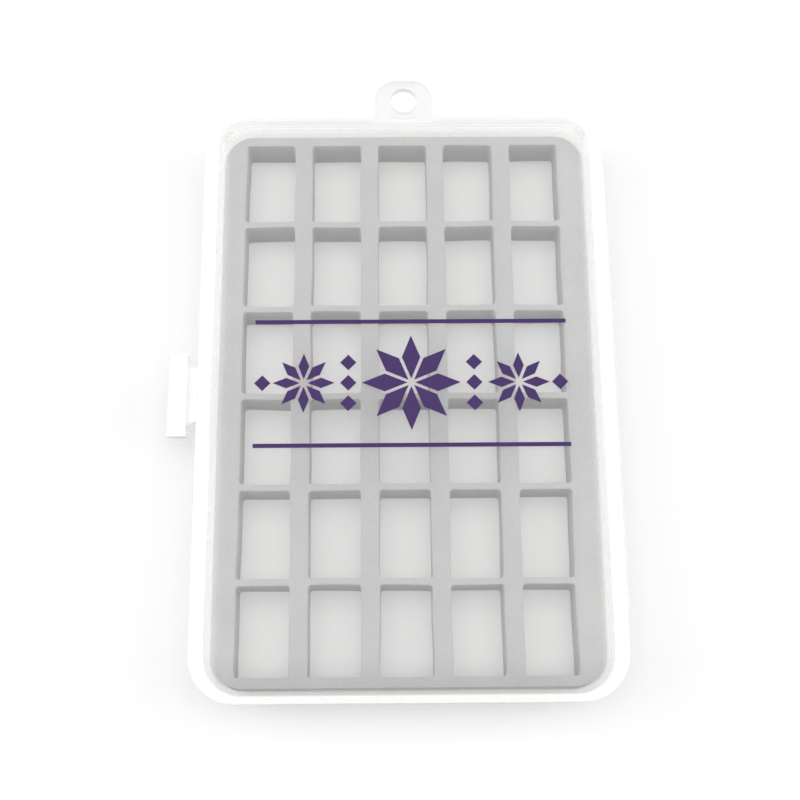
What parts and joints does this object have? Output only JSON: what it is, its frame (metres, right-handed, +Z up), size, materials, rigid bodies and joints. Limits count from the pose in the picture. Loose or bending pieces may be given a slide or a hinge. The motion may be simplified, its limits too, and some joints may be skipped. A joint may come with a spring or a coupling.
{
  "type": "bobbin storage box",
  "caption": "Slim hinged clear plastic case with a foam insert cut into rows of slots that hold sewing bobbins on edge, with a snap latch and a hang tab.",
  "frame": {"origin": "centre of the base's flat underside", "axes": "+X from the latch side to the hinge side, +Y along the box to the hang tab, +Z up out of the lid"},
  "size_m": [0.1098, 0.1574, 0.025],
  "materials": {
    "clear_shell": "milky translucent polypropylene, satin gloss",
    "foam": "closed-cell foam, fine matte cells",
    "print_ink": "deep purple ink printed on the lid, satin"
  },
  "bodies": {
    "base": {"base_tray": "clear_shell", "catch_lug": "clear_shell", "foam_insert": "foam", "hinge_web": "clear_shell"},
    "lid": {"lid": "clear_shell", "latch_neck": "clear_shell"},
    "latch": {"latch_flap": "clear_shell", "snap_bead": "clear_shell"}
  },
  "joints": [
    {"name": "lid_hinge", "type": "hinge", "parent": "base", "child": "lid", "pos_m": [0.05172, -0.004, 0.0115], "axis": [0, 1, 0], "range_deg": [0, 170], "deforming": ["hinge_web", "snap_bead"]},
    {"name": "latch_hinge", "type": "hinge", "parent": "lid", "child": "latch", "pos_m": [-0.05168, 0, 0.0122], "axis": [0, 1, 0], "range_deg": [0, 100], "deforming": ["latch_neck", "snap_bead"]}
  ]
}
